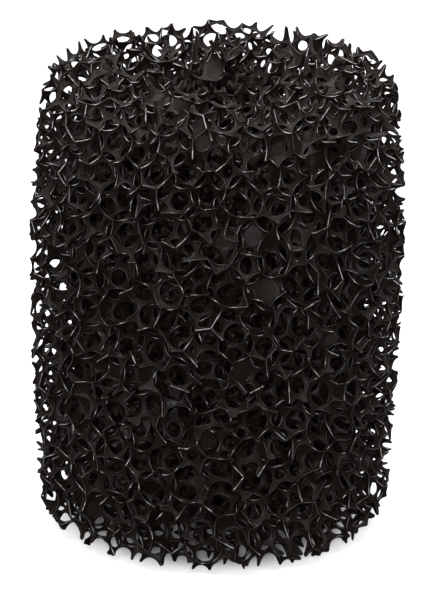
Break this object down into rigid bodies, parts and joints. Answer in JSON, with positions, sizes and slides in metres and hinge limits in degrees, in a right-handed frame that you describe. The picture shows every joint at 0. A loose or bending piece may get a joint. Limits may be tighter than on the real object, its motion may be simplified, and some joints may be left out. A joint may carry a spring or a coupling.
{
  "type": "filter sponge",
  "caption": "Barrel-shaped block of coarse black open-cell foam with a blind bore that pushes onto an aquarium intake tube.",
  "frame": {"origin": "centre of the flat base, on the surface that the sponge stands on", "axes": "+Z along the bore axis, out of the bore's mouth; X and Y across the round block"},
  "size_m": [0.0396, 0.0396, 0.05],
  "materials": {
    "foam": "black reticulated polyurethane foam, open cells about 3.6 mm across with semi-gloss struts"
  },
  "bodies": {
    "root": {"foam_cartridge": "foam"}
  },
  "joints": []
}
